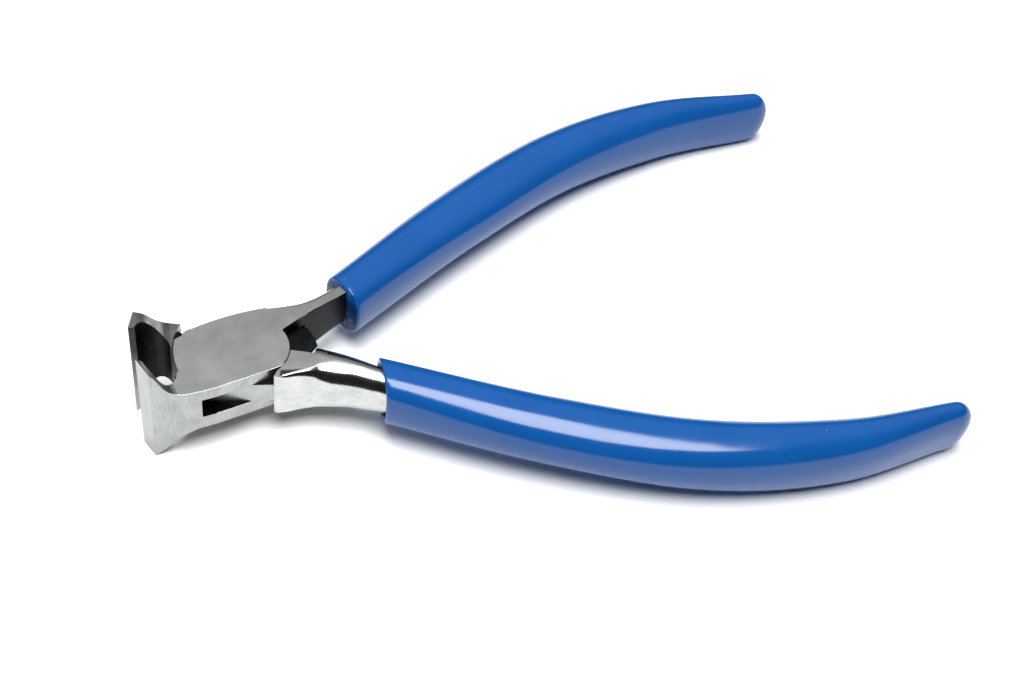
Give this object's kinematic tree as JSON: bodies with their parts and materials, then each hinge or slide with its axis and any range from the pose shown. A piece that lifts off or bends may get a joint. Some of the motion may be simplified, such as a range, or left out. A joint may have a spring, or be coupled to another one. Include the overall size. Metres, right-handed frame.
{
  "type": "end cutting nipper",
  "caption": "Box-joint end-cutting nipper with wide square jaws, a plain flush rivet and smooth dipped sleeves on both curved handles.",
  "frame": {"origin": "on the rivet's axis, at the outer face of the lower cheek", "axes": "+X from the jaws to the handles along the tool, +Z along the rivet's axis out of the upper cheek, +Y towards the box lever's handle"},
  "size_m": [0.1089, 0.074, 0.0169],
  "materials": {
    "steel": "ground and polished forged tool steel",
    "vinyl": "smooth gloss blue soft vinyl"
  },
  "bodies": {
    "box_lever": {"box_lever": "steel", "joint_pin": "steel", "box_lever_grip": "vinyl"},
    "inner_lever": {"inner_lever": "steel", "inner_lever_grip": "vinyl"}
  },
  "joints": [
    {"name": "jaw_pivot", "type": "hinge", "parent": "box_lever", "child": "inner_lever", "pos_m": [0, 0, 0.00375], "axis": [0, 0, 1], "range_deg": [-8, 20]}
  ]
}
